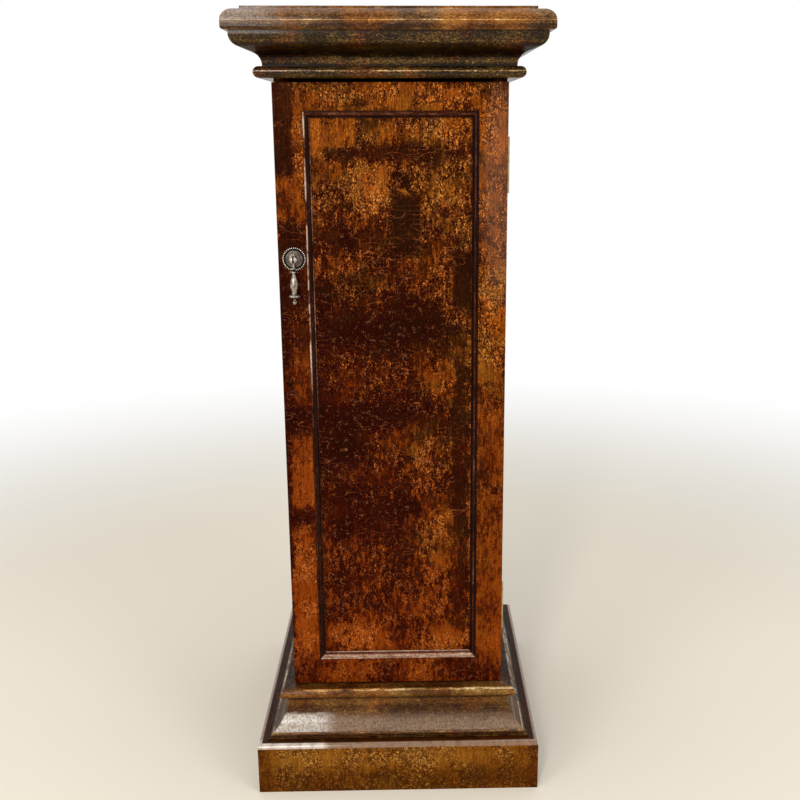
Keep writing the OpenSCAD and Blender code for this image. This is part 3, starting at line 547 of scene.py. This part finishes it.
def mouldingLacquer(name, axis, look):
    look = {**mouldingLook, **look}
    paint = newPaint(name)
    place = paint.inMillimetres()
    across = paint.axis(place, look["across"]) - look["foot"]
    uneven = paint.noise(place, along((14.0, 6.0), axis), 3.0, 0.6, shift=6.0) - 0.5
    ragged = across + uneven * look["ragged"]
    length = paint.axis(place, axis) + (paint.noise(place, 9.0, 3.0, 0.6, shift=19.1) - 0.5) * 22
    rounded, worn = paint.arris(look["arris"])
    tone = speckledTone(paint, look, place, axis)
    tone = bandedTone(paint, look, place, axis, tone, across, ragged)
    patchy = paint.fade(paint.noise(place, 12.0, 3.0, 0.6, shift=4.0), 0.35, 0.6, 0.2, 1.0)
    colour = warmedColour(paint, look, place, length, tone + worn * patchy * look["rub"])
    smear = paint.noise(place, along(look["streak"], axis), 2.0, 0.6, shift=5.0)
    coat = look["coat"]
    # Painted sheen: a pale layer standing in for a reflection on the lower part
    if look["sheenVeil"]:
        sheenVeil = look["sheenVeil"]
        streaks = paint.noise(place, (2.4, 2.4, 9.0), 3.0, 0.6, shift=21.5)
        mask = paint.fade(ragged, sheenVeil["from"], sheenVeil["full"]) * paint.fade(streaks, 0.36, 0.62, 0.45, 1.0)
        mask = mask * paint.fade(across, sheenVeil["end"], sheenVeil["end"] + 1)
        depth = mask * paint.fade(smear, 0.25, 0.65, 0.65, 1.0) * sheenVeil["depth"]
        colour = paint.mix(depth, colour, sheenVeil["shade"])
        if sheenVeil["coat"]:
            coat = mask * sheenVeil["coat"] + coat
    # Painted reflection: a crinkled grey sheen at the left end
    if look["sheen"]:
        sheen = look["sheen"]
        crinkle = paint.fade(paint.noise(place, (2.6, 2.6, 5.0), 3.0, 0.65, shift=23.3), 0.36, 0.6, 0.3, 1.0)
        mask = paint.fade(length, *sheen["along"]) * paint.fade(ragged, *sheen["across"])
        mask = mask * paint.fade(across, sheen["end"], sheen["end"] + 1)
        colour = paint.mix(mask * crinkle * sheen["depth"], colour, sheen["shade"])
    swell = paint.noise(place, (16.0, 16.0, 9.0), 3.0, 0.55, shift=2.0) * look["ripple"]
    crease = paint.noise(place, 3.5, 2.0, 0.5, shift=6.6) * (look["ripple"] * look["crease"])
    return paint.finish({
        "Base Color": colour,
        "Roughness": paint.fade(smear, 0.3, 0.7, look["rough"] - 0.06, look["rough"] + 0.1),
        "Normal": paint.bump(swell + crease, look["relief"], rounded),
        "Specular IOR Level": look["specular"],
        "Coat Weight": coat, "Coat Roughness": look["coatRough"],
    })


corniceLook = {
    "foot": edgeOf("cornice_bead_front", 0, 2),
    "grain": (2.2, 1.3),
    "grainDepth": 1.35,
    "fleck": (5.0, 2.0),
    # Darker bands are painted shade in the hollows, lighter ones and the lines painted highlights
    "bands": [(6.5, 4.5, -0.02), (13.5, 2.0, -0.25), (18.5, 2.0, 0.1), (27.0, 5.0, -0.26), (34.0, 3.0, -0.1)],
    "lines": [(7.6, 0.7, 0.45), (38.5, 1.2, 0.1)],
}
baseLook = {
    "foot": edgeOf("base_moulding_front", 0, 2),
    "tone": 0.4,
    "grainDepth": 0.7,
    "fleckDepth": 0.18,
    "coat": 0.12,
    "ripple": 0.9,
    "crease": 0.5,
    "shades": shades((0.0, 16, 5, 0), (0.3, 50, 27, 6), (0.5, 92, 57, 20),
                     (0.7, 132, 94, 42), (0.85, 166, 130, 74), (1.0, 214, 188, 144)),
    # Painted highlight on the bead and the foot's edge, painted shade under the bead and at the foot's shadow
    # line
    "bands": [(55.0, 5.5, 0.14), (46.0, 2.0, -0.2), (40.0, 5.0, 0.1), (3.6, 2.4, -0.12), (0.5, 1.2, -0.4)],
    "lines": [(60.0, 1.0, 0.42), (6.2, 0.5, 0.3)],
    # A painted sheen on the cove's lower half, and a painted reflection at its left end
    "sheenVeil": {"from": 29.0, "full": 11.0, "end": 6.6,
             "shade": srgb(156, 130, 106), "depth": 0.74, "coat": 0.4},
    "sheen": {"along": (-78.0, -108.0), "across": (28.5, 22.5), "end": 6.6,
              "shade": srgb(214, 206, 194), "depth": 0.76},
}
sideBaseLook = {
    **baseLook,
    "coat": 0.06,
    "specular": 0.03,
    "warm": 0.35,
    "shades": shades((0.0, 12, 4, 1), (0.3, 36, 22, 12), (0.5, 70, 50, 34),
                     (0.7, 112, 90, 70), (0.85, 150, 130, 110), (1.0, 204, 190, 174)),
    # Painted highlight lines, and a faint painted sheen
    "lines": [(60.0, 1.0, 0.42), (44.5, 1.2, 0.3), (17.0, 2.5, 0.25), (7.2, 0.8, 0.45)],
    "sheenVeil": {"from": 37.0, "full": 31.0, "end": 6.6, "shade": srgb(112, 92, 76), "depth": 0.3, "coat": 0.0},
    "sheen": None,
}
slabLook = {
    "foot": edgeOf("top_slab", 0, 2),
    "tone": 0.43,
    "fleck": (10.0, 3.0),
    "fleckDepth": 0.16,
    "grainDepth": 1.0,
    "coat": 0.12,
    "specular": 0.04,
    "shades": shades((0.0, 20, 8, 2), (0.3, 60, 37, 18), (0.5, 104, 72, 42),
                     (0.7, 142, 106, 64), (0.85, 176, 140, 92), (1.0, 226, 200, 156)),
    "warmShades": shades((0.0, 26, 8, 0), (0.3, 78, 40, 12), (0.5, 122, 74, 28),
                         (0.7, 156, 100, 40), (0.85, 182, 128, 60), (1.0, 226, 190, 130)),
    "warm": 0.9,
    "warmPlaces": [(71, 14, 0.1), (-42, 9, 0.03), (126, 24, 0.05)],
    # Painted shade on the slab's lower face, painted highlights above it and in the lines, a painted grey
    # reflection at its left end
    "bands": [(18.5, 3.5, 0.06), (3.5, 3.0, -0.2)],
    "lines": [(9.9, 0.6, 0.36), (23.1, 0.5, 0.2)],
    "lineLeast": 0.5,
    "sheen": {"along": (-98.0, -165.0), "across": (6.5, 13.5), "end": -1.0,
              "shade": srgb(170, 160, 148), "depth": 0.55},
}
boardLook = {"tone": 0.25}
for axis, ends, base in ((0, ("front", "back"), baseLook), (1, ("right", "left"), sideBaseLook)):
    way = ("Front", "Side")[axis]
    corniceLacquer = mouldingLacquer("cornice" + way, axis, corniceLook)
    baseLacquer = mouldingLacquer("base" + way, axis, base)
    for end in ends:
        dress(corniceLacquer, f"cornice_bead_{end}", f"cornice_ogee_{end}")
        dress(baseLacquer, f"base_moulding_{end}", f"base_bead_{end}")
dress(mouldingLacquer("slabLacquer", 0, slabLook), "top_slab")
dress(mouldingLacquer("boardLacquer", 0, boardLook), "floor_board", "top_board")

# Panel moulding: dark red-brown, its lower length lighter and its top and right ones darker as painted light
# and shade, with painted highlight lines, the left one's fading out lower down
panelMouldingLook = {
    "warm": 0.0,
    "cloudDepth": 0.4,
    "grainDepth": 0.6,
    "fleckDepth": 0.1,
    "rub": 0.15,
    "coat": 0.06,
    "specular": 0.04,
    "shades": shades((0.0, 8, 0, 0), (0.3, 34, 8, 1), (0.5, 80, 36, 18),
                     (0.7, 130, 88, 66), (1.0, 212, 184, 160)),
}
panelMouldings = {
    "bottom": {"tone": 0.42, "lines": [(3.5, 2.8, 0.36), (7.5, 0.5, 0.4)], "lineLeast": 0.8},
    "top": {"tone": 0.28, "lines": [(4.7, 1.6, 0.2)]},
    "left": {"tone": 0.26, "lines": [(1.6, 1.1, 0.6), (7.4, 0.5, 0.4)], "lineFade": (450.0, 590.0)},
    "right": {"tone": 0.2, "lines": [(4.0, 0.8, 0.25)]},
}
for end, look in panelMouldings.items():
    axis = 0 if end in ("bottom", "top") else 2
    across = 2 - axis
    look = {**panelMouldingLook, **look, "across": across, "foot": edgeOf(f"panel_moulding_{end}", 0, across)}
    dress(mouldingLacquer("panelMoulding" + end.title(), axis, look), f"panel_moulding_{end}")
print("mouldings lacquered")


# Metal: bright where it is handled, with grime and painted shade darkening the recesses
def metal(name, look):
    paint = newPaint(name)
    place = paint.inMillimetres()
    cloud = paint.noise(place, look["size"], 4.0, 0.6)
    fine = paint.noise(place, look["size"] / 6, 3.0, 0.6, shift=4.0)
    wear = paint.fade(cloud * 0.7 + fine * 0.3, 0.5 - look["patina"], 0.5 + look["patina"])
    rounded, worn = paint.arris(0.0003)
    colour = paint.mix(wear.calc("MAXIMUM", worn), look["deep"], look["bright"])
    # Ambient occlusion darkens the recesses: grime and painted shade
    exposed = paint.node("ShaderNodeAmbientOcclusion", {"samples": 8}, {"Distance": 0.003}, "AO")
    dirtAndShade = paint.fade(exposed, 0.92, 0.42, 0.0, look["dirtAndShade"])
    if "beads" in look:
        x, z = look["middle"]
        spoke = paint.vector("MULTIPLY", paint.vector("ADD", place, (-x, 0.0, -z)), (1.0, 0.0, 1.0))
        radius = paint.vector("LENGTH", spoke)
        # The groove and the gaps between the beads darkened: grime and painted shade
        dirtAndShade = dirtAndShade.calc("MAXIMUM", paint.band(radius, look["groove"], 0.7, 1.3, look["dirtAndShade"]))
        rim = paint.fade(radius, look["groove"], look["groove"] + 1)
        beat = (paint.axis(spoke, 2).calc("ARCTAN2", paint.axis(spoke, 0)) * look["beads"]).calc("COSINE")
        dirtAndShade = dirtAndShade.calc("MAXIMUM", paint.fade(beat, 0.4, -0.2, 0.0, look["dirtAndShade"]) * rim)
        dome = paint.mix(look["domeDark"], colour, look["deep"])
        colour = paint.mix(rim * 0.8, dome, look["beadShade"])
    colour = paint.mix(dirtAndShade, colour, look["dirtAndShadeColour"])
    return paint.finish({
        "Base Color": colour, "Metallic": 1.0,
        "Roughness": paint.fade(fine, 0.3, 0.7, look["rough"], look["rough"] + 0.15),
        "Normal": paint.bump(fine, 0.0001, rounded),
    })


brassLook = {
    "deep": srgb(58, 48, 42),
    "bright": srgb(196, 182, 166),
    "rough": 0.22,
    "patina": 0.2,                 # how softly deep turns to bright
    "size": 4.0,                   # size of the patina's clouds in mm
    "dirtAndShade": 0.97,
    "dirtAndShadeColour": srgb(16, 10, 7),
}
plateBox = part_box("pull_backplate")
plateMiddle = [(plateBox[0][i] + plateBox[1][i]) / 2 for i in range(3)]
plateLook = {
    **brassLook,
    "middle": (1000 * plateMiddle[0], 1000 * plateMiddle[2]),
    "groove": 11.2,                # radius of the groove inside the beads, darkened by grime and painted shade
    "beads": 36,
    "beadShade": srgb(232, 220, 204),
    "domeDark": 0.6,
}
ballBrassLook = {**brassLook, "deep": srgb(120, 108, 96), "bright": srgb(232, 222, 208), "dirtAndShade": 0.9}
hingeLook = {**brassLook, "deep": srgb(134, 112, 78), "bright": srgb(206, 186, 148),
             "rough": 0.24, "size": 8.0, "dirtAndShade": 0.8}
screwLook = {**brassLook, "deep": srgb(74, 58, 38), "bright": srgb(150, 126, 90),
             "rough": 0.3, "size": 3.0, "dirtAndShade": 0.95}
steelLook = {**brassLook, "deep": srgb(112, 112, 114), "bright": srgb(176, 177, 180),
             "rough": 0.26, "size": 6.0, "dirtAndShade": 0.8}
dress(metal("antiqueBrass", brassLook), "pull_post", "pull_drop", "pull_pivot_pin")
dress(metal("backplateBrass", plateLook), "pull_backplate")
dress(metal("hingeBrass", hingeLook),
      "hinge_leaf_fixed_lower", "hinge_leaf_fixed_upper", "hinge_leaf_door_lower", "hinge_leaf_door_upper",
      "hinge_pin_lower", "hinge_pin_upper", "shelf_pins")
dress(metal("screwBrass", screwLook), "carcass_hinge_screws", "door_hinge_screws")
dress(metal("platedSteel", steelLook),
      "catch_magnet", "catch_strike", "strike_screw", "pull_washer", "pull_nut")

# Planed wood of the shelves and glue blocks
woodLook = {
    "figure": 9.0,                 # width and length of the figure, and how much finer the pores are
    "length": 220.0,
    "poreWidth": 9,
    "poreLength": 10,
    "pale": srgb(182, 140, 94),
    "dark": srgb(146, 104, 64),
    "pore": srgb(108, 72, 40),
    "poreDepth": 0.5,
}


def bareWood(name, look, grainAxis):
    paint = newPaint(name)
    place = paint.inMillimetres()
    figure = paint.noise(place, along((look["length"], look["figure"]), grainAxis), 4.0, 0.6)
    poreSize = (look["length"] / look["poreLength"], look["figure"] / look["poreWidth"])
    pore = paint.noise(place, along(poreSize, grainAxis), 2.0, 0.6, shift=3.0)
    colour = paint.mix(paint.fade(figure, 0.35, 0.65), look["dark"], look["pale"])
    colour = paint.mix(paint.fade(pore, 0.62, 0.74, 0.0, look["poreDepth"]), colour, look["pore"])
    return paint.finish({"Base Color": colour, "Roughness": paint.fade(pore, 0.3, 0.7, 0.5, 0.65),
                         "Normal": paint.bump(pore, 0.0002)})


dress(bareWood("shelfWood", woodLook, 0), "shelf_lower", "shelf_upper")
dress(bareWood("blockWood", woodLook, 2), "plinth_corner_blocks")
print("metal and bare wood dressed")

# Split ball that the drop hangs in, fuller than the post's own and opened by the same slot
ballLook = {
    "radius": 0.0054,
    "slot": 0.00105,               # half the width of the slot
    "out": 0.0093,                 # how far its middle stands out from the door
    "edge": 0.0003,                # rounding of the slot's edges
}


def splitBall(look):
    x, _, z = plateMiddle
    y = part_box("door_stile_left")[0][1] - look["out"]
    lobes = []
    for side, sideName in ((-1, "left"), (1, "right")):
        bpy.ops.mesh.primitive_uv_sphere_add(segments=40, ring_count=24,
                                             radius=look["radius"], location=(x, y, z))
        lobe = bpy.context.object
        bpy.ops.object.transform_apply(location=True, rotation=True, scale=True)
        bpy.ops.object.mode_set(mode="EDIT")
        bpy.ops.mesh.select_all(action="SELECT")
        bpy.ops.mesh.bisect(plane_co=(x + side * look["slot"], y, z), plane_no=(side, 0, 0),
                            use_fill=True, clear_inner=True)
        bpy.ops.mesh.select_all(action="SELECT")
        bpy.ops.mesh.normals_make_consistent(inside=False)
        bpy.ops.object.mode_set(mode="OBJECT")
        bevel = lobe.modifiers.new("edge", "BEVEL")
        bevel.width = look["edge"]
        bevel.segments = 2
        bevel.limit_method = "ANGLE"
        bevel.angle_limit = math.radians(50)
        bpy.ops.object.modifier_apply(modifier="edge")
        bpy.ops.object.shade_smooth_by_angle(angle=math.radians(40))
        lobe.name = "split_ball_" + sideName
        lobes.append(lobe)
    return lobes


ballBrass = metal("ballBrass", ballBrassLook)
bpy.ops.object.select_all(action="DESELECT")
for lobe in splitBall(ballLook):
    lobe.data.materials.append(ballBrass)
    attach(lobe, "door")
print("split ball modelled")

# Floor, fading into the white surroundings
floorLook = {
    "radius": 3.6,
    "clearFrom": 0.7,              # distances from the middle between which it fades
    "clearTo": 2.2,
    "colour": srgb(246, 237, 219),
}
bpy.ops.object.select_all(action="DESELECT")
bpy.ops.mesh.primitive_circle_add(vertices=96, radius=floorLook["radius"],
                                  fill_type="NGON", location=(0, 0, 0))
floor = bpy.context.object
floor.name = "paleFloor"
paint = newPaint("paleFloor")
reach = paint.vector("LENGTH", paint.node("ShaderNodeTexCoord", output=3))
clear = paint.fade(reach, floorLook["clearFrom"], floorLook["clearTo"]) * paint.seen()
matt = paint.node("ShaderNodeBsdfDiffuse", None, {"Color": (*floorLook["colour"], 1.0)})
glow = paint.node("ShaderNodeEmission", None, {"Color": (1, 1, 1, 1), "Strength": 1.0})
blended = paint.node("ShaderNodeMixShader", None, {0: clear, 1: matt, 2: glow})
paint.node("ShaderNodeOutputMaterial", None, {0: blended})
floor.data.materials.append(paint.owner)

# Surroundings: white where the camera, gloss or glass sees them, softer as light
worldLook = {"light": (0.95, 0.97, 1.0, 1.0), "strength": 0.5}
world = bpy.data.worlds.new("studio")
bpy.context.scene.world = world
paint = Paint(world)
soft = paint.node("ShaderNodeBackground", None, {0: worldLook["light"], 1: worldLook["strength"]})
white = paint.node("ShaderNodeBackground", None, {0: (1, 1, 1, 1), 1: 1.0})
blended = paint.node("ShaderNodeMixShader", None, {0: paint.seen(), 1: soft, 2: white})
paint.node("ShaderNodeOutputWorld", None, {0: blended})

# Lamps: place, what they face, width, height, watts, colour, and whether gloss mirrors them
lamps = {
    "windowLamp": ((-0.52, -2.5, 1.7), (0.0, 0.0, 0.6), 0.3, 1.3, 24.0, (1.0, 0.98, 0.95), True),
    "leftLamp": ((-1.7, -2.1, 1.4), (0.0, 0.0, 0.5), 1.0, 1.2, 18.0, (1.0, 0.97, 0.92), True),
    "fillLamp": ((1.7, -1.9, 1.4), (0.0, 0.0, 0.5), 1.0, 1.4, 16.0, (0.94, 0.97, 1.0), False),
    "ceilingLamp": ((0.0, 0.1, 2.7), (0.0, 0.0, 0.0), 1.6, 1.6, 18.0, (1.0, 1.0, 1.0), True),
}
for name, (place, aim, width, height, watts, colour, mirrored) in lamps.items():
    lamp = bpy.data.lights.new(name, "AREA")
    lamp.shape = "RECTANGLE"
    lamp.size = width
    lamp.size_y = height
    lamp.energy = watts
    lamp.color = colour
    holder = bpy.data.objects.new(name, lamp)
    holder.location = place
    holder.rotation_euler = (Vector(aim) - Vector(place)).to_track_quat("-Z", "Y").to_euler()
    holder.visible_camera = False
    holder.visible_glossy = mirrored
    bpy.context.scene.collection.objects.link(holder)

# Camera: fitted to the photograph's corners, turned by degrees down, left and over
cameraLook = {"place": (0.0215, -1.4218, 0.8498), "lens": 47.6, "sensor": 36.0,
              "down": 14.73, "left": -1.482, "roll": -0.114, "shift": -0.0481}
cameraData = bpy.data.cameras.new("photoCamera")
cameraData.lens = cameraLook["lens"]
cameraData.sensor_width = cameraLook["sensor"]
cameraData.shift_x = cameraLook["shift"]
cameraData.clip_start = 0.05
camera = bpy.data.objects.new("photoCamera", cameraData)
turn = Matrix.Rotation(math.radians(cameraLook["left"]), 4, "Z")
tilt = Matrix.Rotation(math.radians(90 - cameraLook["down"]), 4, "X")
lean = Matrix.Rotation(math.radians(cameraLook["roll"]), 4, "Z")
camera.matrix_world = Matrix.Translation(cameraLook["place"]) @ turn @ tilt @ lean
bpy.context.scene.collection.objects.link(camera)
bpy.context.scene.camera = camera
bpy.context.scene.view_settings.view_transform = "Standard"
print("floor, light and camera set")
